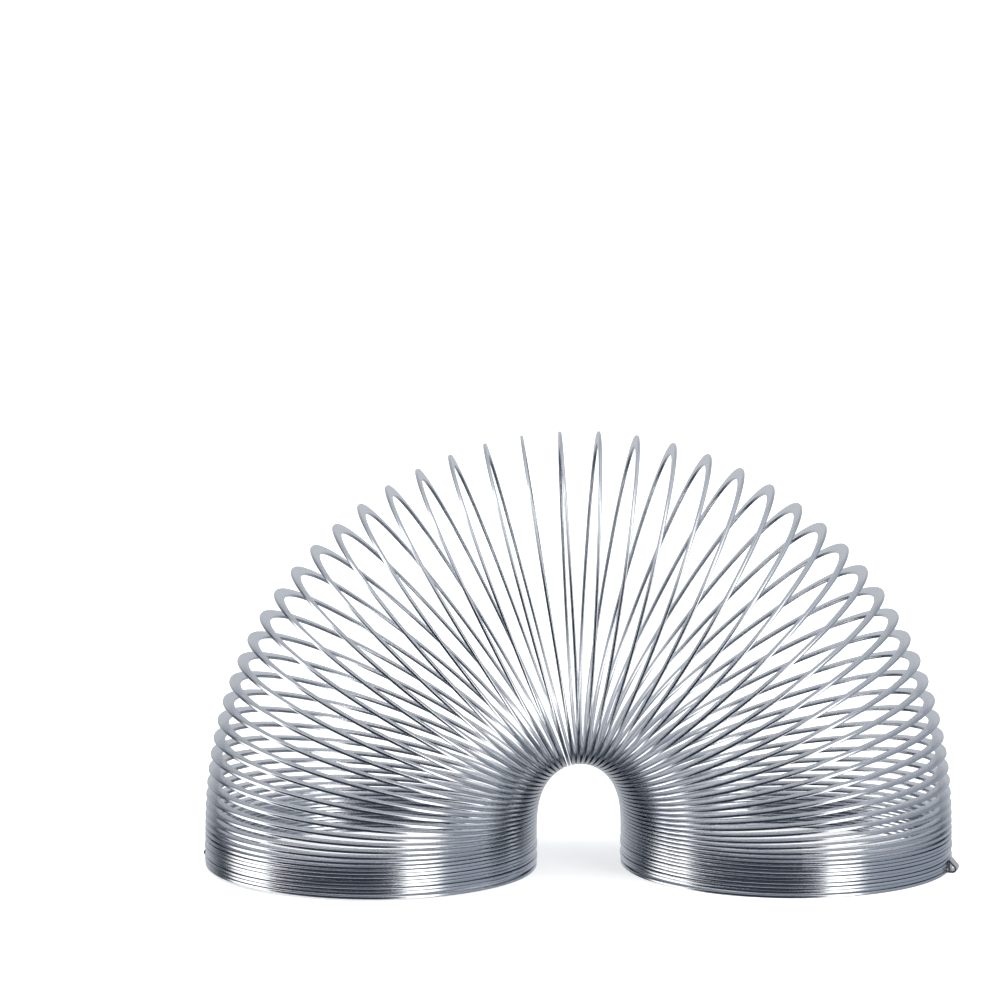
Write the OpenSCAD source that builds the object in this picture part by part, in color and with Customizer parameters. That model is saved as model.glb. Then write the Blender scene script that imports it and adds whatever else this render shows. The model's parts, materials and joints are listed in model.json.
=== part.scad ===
// Metal spring coil toy standing as an arch on its two closed ends.
// The coil is one flat steel wire. It is divided where it flexes: each turn is a
// nearly flat ring that swings against the next one about its innermost point.
// X runs from the left foot to the right foot, Y away from the viewer, Z up.
// The origin is on the floor, midway between the feet. The coil is left-handed,
// and a half turn about Z maps it onto itself.

/* [Wire] */
// Outside diameter of the coil
coil_d = 70; // [60:1:80]
// Width of the flat wire, measured across the coil's radius
wire_w = 2.5; // [2:0.1:3]
// Thickness of the flat wire, along the coil's axis
wire_t = 0.68; // [0.4:0.02:0.68]

/* [Coil] */
// Rise of one turn where the coil is closed
closed_pitch = 0.73; // [0.73:0.01:0.85]
// Closed turns in each foot
foot_turns = 8; // [6:1:14]
// Reach of the fan to each side of the crown, in turns
fan_reach = 28; // [27.5:0.5:32]
// How flat the fan stays near the crown
fan_flat = 1.3; // [1:0.1:2]
// How softly the fan closes towards the feet
fan_fade = 1.2; // [0.8:0.1:2]

/* [End clips] */
// Place of each wire end round its foot, from the inward side, in degrees
clip_at = 160; // [150:1:168]
// Length of a clip round the coil, in degrees
clip_turn = 5; // [3:1:8]
// Thickness of the clip's strip
clip_t = 0.35; // [0.2:0.05:0.5]
// Outside radius of the clip's rolled eye
eye_r = 1.1; // [0.8:0.1:1.5]

/* [Hidden] */
$fn = 48;
FAN_TURNS = 54;
MID = FAN_TURNS / 2;
ring_r = (coil_d - wire_w) / 2;
ring_d = 2 * ring_r;

// half the slit between two turns' cut ends, as a length and as an angle round the coil
slit = 0.05;
slit_a = slit / ring_r * 180 / PI;

function total(v, n, i = 0) = i < n ? v[i] + total(v, n, i + 1) : 0;

// opening angle at each inner point, largest at the crown; together they make 180 degrees
fan_law = [for (k = [0:FAN_TURNS])
    pow(1 - pow(abs(k - MID) / fan_reach, fan_flat), fan_fade)];
fan_sum = total(fan_law, FAN_TURNS + 1);
opening = [for (f = fan_law) 180 * f / fan_sum];

// slope of each turn: level in the left foot, upright at the crown, upside down in the right foot
slope = [for (k = [0:FAN_TURNS + 1]) total(opening, k)];

// rise of each turn along the hinge line, wide enough that the inner edges stay apart
function wider(k) = max(opening[k - 1], opening[k]) * PI / 180;
rise = [for (k = [0:FAN_TURNS]) k == 0 ? 0 : closed_pitch + wire_w / 2 * wider(k)];
step_x = [for (k = [0:FAN_TURNS]) rise[k] * sin(slope[k])];
step_z = [for (k = [0:FAN_TURNS]) rise[k] * cos(slope[k])];

// hinge points, on the middle of the wire at the inner side of each turn
first_x = -total(step_x, MID + 1);
first_z = wire_t / 2 + (foot_turns + 0.5) * closed_pitch;
hinge_x = [for (k = [0:FAN_TURNS]) first_x + total(step_x, k + 1)];
hinge_z = [for (k = [0:FAN_TURNS]) first_z + total(step_z, k + 1)];
foot_x = first_x - ring_r;

steel = [0.72, 0.74, 0.78];
bright = [0.82, 0.83, 0.86];
zinc = [0.6, 0.6, 0.62];

// Half a ring of flat wire behind the hinge line. Its inner point is the origin and its outer
// point lies along -X. It runs from the outer point round to angle a from the inner point.
module back_half(a = slit_a) {
    translate([-ring_r, 0, -wire_t / 2])
        mirror([1, 0, 0])
            rotate_extrude(angle = 180 - a)
                translate([ring_r - wire_w / 2, 0])
                    square([wire_w, wire_t]);
}

// The same half ring in front of the hinge line
module front_half(a = slit_a) {
    mirror([0, 1, 0])
        back_half(a);
}

// One turn of the fan, between hinge k - 1 and hinge k
module turn(k) {
    tilt = asin(rise[k] / 2 / ring_d);
    translate([hinge_x[k - 1], 0, hinge_z[k - 1]])
        rotate([0, slope[k] + tilt, 0])
            front_half();
    translate([hinge_x[k], 0, hinge_z[k]])
        rotate([0, slope[k] - tilt, 0])
            back_half();
}

// Closed turns of one foot. The wire end lies flat on the floor, and the first front half
// climbs a whole rise to pass over it; from there on each half turn climbs half a rise.
module foot_coil() {
    climb = asin(closed_pitch / ring_d);
    tilt = asin(closed_pitch / 2 / ring_d);
    floor_z = wire_t / 2;
    translate([foot_x, 0, 0])
        rotate_extrude(angle = clip_at)
            translate([ring_r - wire_w / 2, 0])
                square([wire_w, wire_t]);
    translate([first_x, 0, floor_z])
        rotate([0, climb, 0])
            front_half(0);
    for (m = [1:foot_turns])
        translate([first_x, 0, floor_z + (m + 0.5) * closed_pitch])
            rotate([0, -tilt, 0])
                back_half(m == foot_turns ? slit_a : 0);
    for (m = [1:foot_turns - 1])
        translate([first_x, 0, floor_z + (m + 0.5) * closed_pitch])
            rotate([0, tilt, 0])
                front_half(0);
}

// Crimped clip on a wire end: a flat tongue against the wire's cut end, under the first
// turn, rolled into a small eye outside the coil
module end_clip() {
    eye_x = coil_d / 2 + eye_r + slit;
    translate([foot_x, 0, 0])
        rotate([0, 0, clip_at])
            rotate_extrude(angle = clip_turn) {
                translate([ring_r - wire_w / 2 + slit, 0])
                    square([eye_x - ring_r + wire_w / 2 - slit, clip_t]);
                translate([eye_x, eye_r])
                    difference() {
                        circle(r = eye_r);
                        circle(r = eye_r - clip_t);
                    }
            }
}

module left_foot_coil() { color(steel) foot_coil(); }
module left_end_clip() { color(zinc) end_clip(); }
module right_foot_coil() { color(steel) rotate([0, 0, 180]) foot_coil(); }
module right_end_clip() { color(zinc) rotate([0, 0, 180]) end_clip(); }

left_foot_coil();
left_end_clip();
right_foot_coil();
right_end_clip();
for (k = [1:FAN_TURNS])
    color(k % 2 == 0 ? steel : bright) turn(k);
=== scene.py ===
# Metal spring coil toy: one flat steel wire, standing as an arch on its two closed ends.
import json
import math

import bpy
import numpy as np
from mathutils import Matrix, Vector


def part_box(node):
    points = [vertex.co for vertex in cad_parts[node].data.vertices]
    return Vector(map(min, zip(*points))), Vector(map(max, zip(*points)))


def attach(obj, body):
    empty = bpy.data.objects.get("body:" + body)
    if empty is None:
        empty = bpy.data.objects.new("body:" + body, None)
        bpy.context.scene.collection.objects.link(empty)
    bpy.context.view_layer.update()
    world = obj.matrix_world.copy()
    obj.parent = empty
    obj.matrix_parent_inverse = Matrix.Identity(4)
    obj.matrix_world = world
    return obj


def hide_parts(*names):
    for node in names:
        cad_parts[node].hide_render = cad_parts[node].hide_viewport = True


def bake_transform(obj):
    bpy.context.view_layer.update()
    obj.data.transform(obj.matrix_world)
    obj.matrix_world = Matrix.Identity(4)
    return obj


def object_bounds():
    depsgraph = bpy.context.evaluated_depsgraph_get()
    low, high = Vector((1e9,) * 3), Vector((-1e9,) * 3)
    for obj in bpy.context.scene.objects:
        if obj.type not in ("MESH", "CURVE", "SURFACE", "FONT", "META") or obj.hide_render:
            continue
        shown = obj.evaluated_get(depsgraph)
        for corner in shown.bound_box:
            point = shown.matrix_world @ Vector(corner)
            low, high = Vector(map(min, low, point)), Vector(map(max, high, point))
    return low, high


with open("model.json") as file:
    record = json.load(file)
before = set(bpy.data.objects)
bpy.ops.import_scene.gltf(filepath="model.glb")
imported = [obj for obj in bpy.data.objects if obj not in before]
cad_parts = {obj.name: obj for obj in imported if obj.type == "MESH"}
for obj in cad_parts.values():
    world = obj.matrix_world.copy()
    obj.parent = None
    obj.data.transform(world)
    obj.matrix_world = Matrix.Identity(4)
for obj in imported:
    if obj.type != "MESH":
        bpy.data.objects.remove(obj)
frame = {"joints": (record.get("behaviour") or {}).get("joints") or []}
cad_low, cad_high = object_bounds()
bpy.ops.object.select_all(action="DESELECT")

# ---------------------------------------------------------------------------------------
# Wire stock. The toy is one length of cold-rolled flat steel wire, its edges rolled round.
# Half a ring of it is made here once; every stretch of the toy is a copy of that half ring,
# drawn out and laid along the line that the wire takes.
# ---------------------------------------------------------------------------------------
WIRE_WIDTH = 0.0025
WIRE_THICK = 0.00064
EDGE_ROUND = 0.00017
EDGE_STEPS = 3
STOCK_STEPS = 40
SMOOTH_BELOW = math.radians(50)

foot_low, foot_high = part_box("left_foot_coil")
coil_r = (foot_high.y - foot_low.y - WIRE_WIDTH) / 2

bpy.ops.mesh.primitive_plane_add(size=1, location=(coil_r, 0, 0), rotation=(math.pi / 2, 0, 0))
stock = bpy.context.object
stock.name = "wire_stock"
stock.scale = (WIRE_WIDTH, WIRE_THICK, 1)
bpy.ops.object.transform_apply(location=True, rotation=True, scale=True)
bpy.ops.object.mode_set(mode="EDIT")
bpy.ops.mesh.select_all(action="SELECT")
bpy.ops.mesh.bevel(offset=EDGE_ROUND, segments=EDGE_STEPS, affect="VERTICES")
bpy.ops.mesh.delete(type="ONLY_FACE")
bpy.ops.mesh.select_all(action="SELECT")
bpy.ops.mesh.spin(steps=STOCK_STEPS, angle=math.pi, center=(0, 0, 0), axis=(0, 0, 1))
bpy.ops.mesh.select_all(action="SELECT")
bpy.ops.mesh.normals_make_consistent(inside=False)
bpy.ops.object.mode_set(mode="OBJECT")
stock.select_set(False)


class Shade:
    """A shader socket that takes part in sums."""

    def __init__(self, tree, socket):
        self.tree = tree
        self.socket = socket

    def node(self, kind, settings=None, out=0, **inputs):
        """Adds a node: its settings first, then the values or links of its sockets."""
        made = self.tree.nodes.new(kind)
        for key, value in (settings or {}).items():
            setattr(made, key, value)
        for key, value in inputs.items():
            at = int(key[1:]) if key[0] == "i" and key[1:].isdigit() else key.replace("_", " ")
            self.feed(made.inputs[at], value)
        return Shade(self.tree, made.outputs[out])

    def feed(self, socket, value):
        if isinstance(value, Shade):
            self.tree.links.new(value.socket, socket)
        else:
            socket.default_value = value

    def math(self, operation, other):
        return self.node("ShaderNodeMath", {"operation": operation}, i0=self, i1=other)

    def __add__(self, other):
        return self.math("ADD", other)

    def __mul__(self, other):
        return self.math("MULTIPLY", other)

    __radd__ = __add__
    __rmul__ = __mul__

    def noise(self, stretch, detail):
        """Noise with the given number of grains to the metre along each direction."""
        moved = self.node("ShaderNodeVectorMath", {"operation": "MULTIPLY"}, i0=self, i1=stretch)
        return self.node("ShaderNodeTexNoise", Vector=moved, Scale=1.0, Detail=detail)

    def blend(self, first, second):
        """A colour between two, by this value."""
        return self.node("ShaderNodeMix", {"data_type": "RGBA"}, out=2, i0=self, i6=first, i7=second)


def metal(name, source):
    """A new metal material, its shader and the place that its pattern follows."""
    material = bpy.data.materials.new(name)
    material.use_nodes = True
    tree = material.node_tree
    shader = tree.nodes["Principled BSDF"]
    shader.inputs["Metallic"].default_value = 1.0
    node_kind, output = source
    place = Shade(tree, tree.nodes.new(node_kind).outputs[output])
    return material, shader, place


# Bright rolled steel: the rolls leave fine lines along the wire, and play has left it slightly
# scuffed.
ROLL_LINES = (60, 9000, 9000)
DULL_PATCHES = (45, 300, 300)
SCUFF_MARKS = (900, 2500, 2500)
DULL_STEEL = (0.50, 0.525, 0.57, 1)
BRIGHT_STEEL = (0.88, 0.895, 0.92, 1)
LINE_DEPTH = 0.00002

steel, shader, wire = metal("rolled_steel", ("ShaderNodeAttribute", "Vector"))
wire.socket.node.attribute_name = "wire"
lines = wire.noise(ROLL_LINES, 3.0)
patches = wire.noise(DULL_PATCHES, 2.0)
scuffs = wire.noise(SCUFF_MARKS, 4.0)
wire.feed(shader.inputs["Roughness"], 0.09 + lines * 0.10 + patches * 0.08 + scuffs * 0.05)
wear = patches * 0.55 + lines * 0.45
wire.feed(shader.inputs["Base Color"], wear.blend(DULL_STEEL, BRIGHT_STEEL))
wire.feed(shader.inputs["Normal"],
          wire.node("ShaderNodeBump", Height=lines + scuffs * 0.5, Strength=0.25, Distance=LINE_DEPTH))
stock.data.materials.append(steel)

# ---------------------------------------------------------------------------------------
# Left foot: the lower turns of the coil, pressed together as they were wound. The wire's cut
# end lies flat on the table, and each turn climbs over the one before. The coil is wound
# left-handed on a mandrel, and nothing fixes its turns but their own spring.
# ---------------------------------------------------------------------------------------
CLOSED_PITCH = 0.00073
END_ANGLE = 160 / 360
FOOT_STRETCHES = 17
GAP_DRIFT = 0.00004
SIDE_DRIFT = 0.00012
WELD_WITHIN = 0.00001

hinge = np.array([j["pos_m"] for j in frame["joints"]])
opening = np.array([j["springref"] for j in frame["joints"]])
slope = np.concatenate([[0], np.cumsum(opening)])
turns = len(hinge) - 1
foot_x = hinge[0][0] - coil_r
floor_z = foot_low.z + WIRE_THICK / 2
foot_turns = round((hinge[0][2] - foot_low.z) / CLOSED_PITCH - 1)


def foot_line(u):
    """Middle of the wire and its outward direction in the left foot, at turn numbers u counted
    from the first hinge, so below 0. The end lies flat and the next half turn climbs over it."""
    v = u + foot_turns
    climb = np.where(v < 0, 0, np.where(v < 0.5, 10 * v**2 - 12 * v**3, v + 0.5))
    z = floor_z + climb * (hinge[0][2] - floor_z) / (foot_turns + 0.5)
    # closed turns never lie quite evenly: they drift a little up and sideways, except at the ends
    loose = np.clip(-u - 0.3, 0, 1) * np.clip(v - 0.5, 0, 1)
    z = z + GAP_DRIFT * loose * np.sin(2 * np.pi * 0.37 * u)
    radius = coil_r + SIDE_DRIFT * loose * np.sin(2 * np.pi * 0.29 * u)
    out = np.stack([np.cos(2 * np.pi * u), -np.sin(2 * np.pi * u), 0 * u], 1)
    middle = np.stack([foot_x + radius * out[:, 0], radius * out[:, 1], z], 1)
    return middle, out


def fan_line(u):
    """The same in the fan. Each turn leans by its slope, and twists as it passes from one
    hinge to the next, so that its tip stands wide of its neighbours'."""
    k = np.clip(np.floor(u).astype(int) + 1, 1, turns)
    s = u - (k - 0.5)
    opened = np.where(s > 0, opening[k], opening[k - 1])
    lean = slope[k]
    outward = np.stack([-np.cos(lean), 0 * s, np.sin(lean)], 1)
    along = np.stack([np.sin(lean), 0 * s, np.cos(lean)], 1)
    lower, upper = hinge[k - 1], hinge[k]
    centre = (lower + upper) / 2 + coil_r * outward
    c, d = np.cos(2 * np.pi * s), np.sin(2 * np.pi * s)
    pitch = np.linalg.norm(upper - lower, axis=1)
    shift = pitch * s + coil_r * opened * (s * (1 + c) - d / (2 * np.pi))
    middle = centre + coil_r * c[:, None] * outward + shift[:, None] * along
    middle[:, 1] += coil_r * d
    leaning = lean + opened * s
    out = np.stack([-c * np.cos(leaning), d, c * np.sin(leaning)], 1)
    return middle, out


def coil_line(u):
    """Middle of the wire and its outward direction at every turn number in u. Half a turn
    about the upright axis through the origin maps the coil onto itself."""
    mirrored = (u > turns)[:, None]
    w = np.where(u > turns, turns - u, u)
    foot_middle, foot_out = foot_line(w)
    fan_middle, fan_out = fan_line(np.clip(w, 0, turns))
    in_foot = (w < 0)[:, None]
    middle = np.where(in_foot, foot_middle, fan_middle)
    out = np.where(in_foot, foot_out, fan_out)
    half_turn = np.array([-1, -1, 1])
    return np.where(mirrored, middle * half_turn, middle), np.where(mirrored, out * half_turn, out)


def stretch_of_wire(name, start, end):
    """A copy of the stock laid along the line of the wire from turn number start to end."""
    piece = stock.copy()
    piece.data = stock.data.copy()
    piece.name = piece.data.name = name
    bpy.context.collection.objects.link(piece)
    points = np.empty(len(piece.data.vertices) * 3)
    piece.data.vertices.foreach_get("co", points)
    points = points.reshape(-1, 3)
    share = np.abs(np.arctan2(points[:, 1], points[:, 0])) / np.pi
    across = np.hypot(points[:, 0], points[:, 1]) - coil_r
    up = points[:, 2]
    u = start + (end - start) * share
    step = 1e-4
    middle, out = coil_line(u)
    ahead = coil_line(u + step)[0] - coil_line(u - step)[0]
    ahead /= np.linalg.norm(ahead, axis=1)[:, None]
    face = np.cross(ahead, out)
    face /= np.linalg.norm(face, axis=1)[:, None]
    out = np.cross(face, ahead)
    laid = middle + out * across[:, None] + face * up[:, None]
    piece.data.vertices.foreach_set("co", laid.ravel())
    drawn = piece.data.attributes.new("wire", "FLOAT_VECTOR", "POINT")
    length = u * 2 * np.pi * coil_r
    drawn.data.foreach_set("vector", np.stack([length, across, up], 1).astype(np.float32).ravel())
    return piece


def edit(piece):
    """Opens one piece in edit mode, with nothing else selected."""
    bpy.ops.object.select_all(action="DESELECT")
    piece.select_set(True)
    bpy.context.view_layer.objects.active = piece
    bpy.ops.object.mode_set(mode="EDIT")


def close_ends(piece):
    """Caps both cut ends of a stretch, and turns every face outwards."""
    edit(piece)
    bpy.ops.mesh.select_all(action="DESELECT")
    bpy.ops.mesh.select_non_manifold()
    bpy.ops.mesh.fill_holes(sides=0)
    bpy.ops.mesh.select_all(action="SELECT")
    bpy.ops.mesh.normals_make_consistent(inside=False)
    bpy.ops.object.mode_set(mode="OBJECT")
    bpy.ops.object.shade_smooth_by_angle(angle=SMOOTH_BELOW)
    piece.select_set(False)


def foot(side, start, end):
    """The closed turns of one foot, as one continuous length of wire."""
    name = f"{side}_foot_turns"
    marks = np.linspace(start, end, FOOT_STRETCHES + 1)
    parts = [stretch_of_wire(f"{name}_{i}", a, b) for i, (a, b) in enumerate(zip(marks, marks[1:]))]
    bpy.ops.object.select_all(action="DESELECT")
    for part in parts:
        part.select_set(True)
    whole = parts[0]
    bpy.context.view_layer.objects.active = whole
    bpy.ops.object.join()
    whole.name = whole.data.name = name
    edit(whole)
    bpy.ops.mesh.select_all(action="SELECT")
    bpy.ops.mesh.remove_doubles(threshold=WELD_WITHIN)
    bpy.ops.object.mode_set(mode="OBJECT")
    close_ends(whole)
    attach(whole, f"{side}_foot")
    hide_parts(f"{side}_foot_coil")


foot("left", -foot_turns - END_ANGLE, -0.25)

# ---------------------------------------------------------------------------------------
# The fan: the turns that gravity opens, from the left foot over the crown to the right foot.
# It is the same wire. The outer half of a turn keeps its shape and rides on its turn; the
# inner half, from the back of one turn to the front of the next, is where the wire twists.
# ---------------------------------------------------------------------------------------
coil_reach = coil_r + WIRE_WIDTH / 2
body_names = ["left_foot"] + [f"turn_{k:02d}" for k in range(1, turns + 1)] + ["right_foot"]
for k in range(1, turns + 1):
    outer = stretch_of_wire(f"outer_{k:02d}", k - 0.75, k - 0.25)
    close_ends(outer)
    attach(outer, body_names[k])
    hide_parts(f"turn_{k:02d}")
for k in range(turns + 1):
    inner = stretch_of_wire(f"inner_{k:02d}", k - 0.25, k + 0.25)
    close_ends(inner)
    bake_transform(inner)

# ---------------------------------------------------------------------------------------
# Right foot: the other end of the same steel wire, closed in the same way by its own spring.
# Its cut end lies flat at the front of the right foot, half a turn round from the left one.
# ---------------------------------------------------------------------------------------
foot("right", turns + 0.25, turns + foot_turns + END_ANGLE)
bpy.data.objects.remove(stock)

# ---------------------------------------------------------------------------------------
# End clips. A strip of plated steel is folded into a three-cornered eye against the side of
# the coil, and its flat tongue is crimped under the first turn, against the wire's cut end,
# so that the cut end can't scratch.
# ---------------------------------------------------------------------------------------
STRIP_THICK = 0.00034
EYE_OUT = 0.0019
EYE_TALL = 0.0030
EYE_FOLD = 0.0005
STRIP_EDGE = 0.00006
TONGUE = 0.0024
CLIP_GAP = 0.0001
CLIP_STEPS = 6
FOLD_STEPS = 4
CLIP_WELD = 0.000005
CLIP_SMOOTH = math.radians(40)
CLIP_FAR_SIDE = math.radians(165.8)
CLIP_SWING = math.radians(5.6)

plating, shader, place = metal("plated_strip", ("ShaderNodeTexCoord", "Object"))
grain = place.noise((2500, 2500, 2500), 4.0)
dents = place.noise((700, 700, 700), 2.0)
place.feed(shader.inputs["Roughness"], 0.14 + grain * 0.14 + dents * 0.10)
place.feed(shader.inputs["Base Color"], dents.blend((0.56, 0.56, 0.56, 1), (0.86, 0.86, 0.85, 1)))
place.feed(shader.inputs["Normal"],
           place.node("ShaderNodeBump", Height=grain * 0.3 + dents, Strength=0.3, Distance=0.00008))


def select_points(piece, wanted):
    """Opens a flat section in edit mode with the points that are wanted selected."""
    if piece.mode == "EDIT":
        bpy.ops.object.mode_set(mode="OBJECT")
    edit(piece)
    bpy.ops.mesh.select_all(action="DESELECT")
    bpy.ops.mesh.select_mode(type="VERT")
    bpy.ops.object.mode_set(mode="OBJECT")
    for vertex in piece.data.vertices:
        vertex.select = wanted(vertex.co.x, vertex.co.z)
    bpy.ops.object.mode_set(mode="EDIT")


def end_clip(side, half_turn):
    """The eye's section is drawn beside the coil, its wall inset, the tongue drawn inwards from
    it, and the whole swung round the coil's axis by the width of the strip."""
    low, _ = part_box(f"{side}_end_clip")
    side_x = coil_reach + CLIP_GAP
    strip_top = low.z + STRIP_THICK
    corners = [(side_x, low.z), (side_x + EYE_OUT * 0.75, low.z),
               (side_x + EYE_OUT, low.z + EYE_TALL * 0.30), (side_x, low.z + EYE_TALL)]
    bpy.ops.object.select_all(action="DESELECT")
    bpy.ops.mesh.primitive_plane_add(size=1)
    clip = bpy.context.object
    clip.name = clip.data.name = f"{side}_clip"
    ring = [clip.data.loops[i].vertex_index for i in clip.data.polygons[0].loop_indices]
    for vertex, (x, z) in zip(ring, corners):
        clip.data.vertices[vertex].co = (x, 0, z)
    select_points(clip, lambda x, z: x + z > side_x + low.z + STRIP_THICK)
    bpy.ops.mesh.bevel(offset=EYE_FOLD, segments=FOLD_STEPS, affect="VERTICES")
    bpy.ops.mesh.select_all(action="SELECT")
    bpy.ops.mesh.inset(thickness=STRIP_THICK)
    bpy.ops.mesh.delete(type="FACE")
    bpy.ops.mesh.select_all(action="SELECT")
    bpy.ops.mesh.bisect(plane_co=(0, 0, strip_top), plane_no=(0, 0, 1))
    select_points(clip, lambda x, z: x < side_x + CLIP_GAP / 2 and z < strip_top + CLIP_GAP / 2)
    bpy.ops.mesh.extrude_region_move(TRANSFORM_OT_translate={"value": (-TONGUE, 0, 0)})
    bpy.ops.mesh.select_all(action="SELECT")
    bpy.ops.mesh.spin(steps=CLIP_STEPS, angle=CLIP_SWING, center=(0, 0, 0), axis=(0, 0, 1))
    bpy.ops.mesh.select_all(action="SELECT")
    bpy.ops.mesh.remove_doubles(threshold=CLIP_WELD)
    bpy.ops.mesh.normals_make_consistent(inside=False)
    bpy.ops.object.mode_set(mode="OBJECT")
    clip.rotation_euler = (0, 0, CLIP_FAR_SIDE + half_turn)
    clip.location = (foot_x * math.cos(half_turn), 0, 0)
    bpy.ops.object.transform_apply(location=True, rotation=True, scale=True)
    soften = clip.modifiers.new("rolled_edges", "BEVEL")
    soften.width = STRIP_EDGE
    soften.segments = 2
    bpy.ops.object.modifier_apply(modifier=soften.name)
    bpy.ops.object.shade_smooth_by_angle(angle=CLIP_SMOOTH)
    clip.data.materials.append(plating)
    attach(clip, f"{side}_foot")
    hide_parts(f"{side}_end_clip")


end_clip("left", 0)
end_clip("right", math.pi)

# ---------------------------------------------------------------------------------------
# Floor: a plain white table top. It glows faintly, so that it stays white to the horizon, and
# the steel doesn't mirror it.
# ---------------------------------------------------------------------------------------
bpy.ops.object.select_all(action="DESELECT")
bpy.ops.mesh.primitive_plane_add(size=60, location=(0, 0, cad_low.z))
table = bpy.context.object
table.name = "table"
white = bpy.data.materials.new("white_table")
white.use_nodes = True
top = white.node_tree.nodes["Principled BSDF"]
top.inputs["Base Color"].default_value = (0.9, 0.9, 0.9, 1)
top.inputs["Roughness"].default_value = 0.9
top.inputs["Emission Color"].default_value = (1, 1, 1, 1)
top.inputs["Emission Strength"].default_value = 0.62
table.data.materials.append(white)
table.visible_glossy = False

# ---------------------------------------------------------------------------------------
# Light: a dim room in front, a bright wall behind, a soft ceiling, and two tall strip lights,
# one at the left and one at the right of the front, which draw a bright band down each foot.
# ---------------------------------------------------------------------------------------
DARK_SIDE = (0.035, 0.045, 0.065, 1)
DIM_SIDE = (0.34, 0.38, 0.44, 1)
BACK_WALL = (0.62, 0.64, 0.68, 1)
CEILING = (0.75, 0.78, 0.84, 1)
LEFT_STRIP = (2.4, 2.38, 2.34, 1)
RIGHT_STRIP = (2.9, 2.87, 2.82, 1)

room = bpy.data.worlds.new("studio")
bpy.context.scene.world = room
room.use_nodes = True
sky = room.node_tree
toward = Shade(sky, sky.nodes.new("ShaderNodeTexCoord").outputs["Generated"])


def ramp(value, low, high):
    """0 below the low value, 1 above the high one, and smooth between."""
    return value.node("ShaderNodeMapRange", {"interpolation_type": "SMOOTHSTEP"},
                      i0=value, i1=low, i2=high)


def strip_light(azimuth, half_width, softness):
    """1 in a strip of directions round one azimuth, at every height, and 0 outside it."""
    level = toward.node("ShaderNodeVectorMath", {"operation": "MULTIPLY"}, i0=toward, i1=(1, 1, 0))
    level = toward.node("ShaderNodeVectorMath", {"operation": "NORMALIZE"}, i0=level)
    a = math.radians(azimuth)
    near = toward.node("ShaderNodeVectorMath", {"operation": "DOT_PRODUCT"}, out=1,
                       i0=level, i1=(math.sin(a), -math.cos(a), 0))
    return ramp(near, math.cos(math.radians(half_width + softness)),
                math.cos(math.radians(half_width - softness)))


behind = ramp(toward.node("ShaderNodeSeparateXYZ", out=1, Vector=toward), 0.55, 1.00)
overhead = ramp(toward.node("ShaderNodeSeparateXYZ", out=2, Vector=toward), 0.30, 0.95)
right_hand = ramp(toward.node("ShaderNodeSeparateXYZ", out=0, Vector=toward), 0.15, 0.85)
walls = right_hand.blend(DARK_SIDE, DIM_SIDE)
walls = behind.blend(walls, BACK_WALL)
walls = overhead.blend(walls, CEILING)
walls = strip_light(-94, 15, 8).blend(walls, LEFT_STRIP)
walls = strip_light(36, 9, 6).blend(walls, RIGHT_STRIP)
toward.feed(sky.nodes["Background"].inputs["Color"], walls)

lamp = bpy.data.lights.new("top_softbox", "AREA")
lamp.size = 1.6
lamp.energy = 10
softbox = bpy.data.objects.new("top_softbox", lamp)
bpy.context.collection.objects.link(softbox)
softbox.location = (0, -0.2, 1.6)
softbox.visible_glossy = False

bpy.context.scene.view_settings.view_transform = "Standard"

# ---------------------------------------------------------------------------------------
# Camera: almost square on to the arch and a little above it.
# ---------------------------------------------------------------------------------------
AZIMUTH = math.radians(-2.7)
ELEVATION = math.radians(8.7)
DISTANCE = 0.9
TARGET = Vector((0, 0, 0.06))
OFFSET_RIGHT = 0.0167
OFFSET_DOWN = 0.01725

lens = bpy.data.cameras.new("camera")
lens.sensor_width = 36
lens.lens = 154.4
lens.clip_start = 0.01
lens.clip_end = 80
camera = bpy.data.objects.new("camera", lens)
bpy.context.collection.objects.link(camera)
bpy.context.scene.camera = camera
back = Vector((math.sin(AZIMUTH) * math.cos(ELEVATION), -math.cos(AZIMUTH) * math.cos(ELEVATION),
               math.sin(ELEVATION)))
right = Vector((math.cos(AZIMUTH), math.sin(AZIMUTH), 0))
above = back.cross(right)
camera.location = TARGET + back * DISTANCE
aim = TARGET - right * OFFSET_RIGHT + above * OFFSET_DOWN
camera.rotation_euler = (aim - camera.location).to_track_quat("-Z", "Y").to_euler()
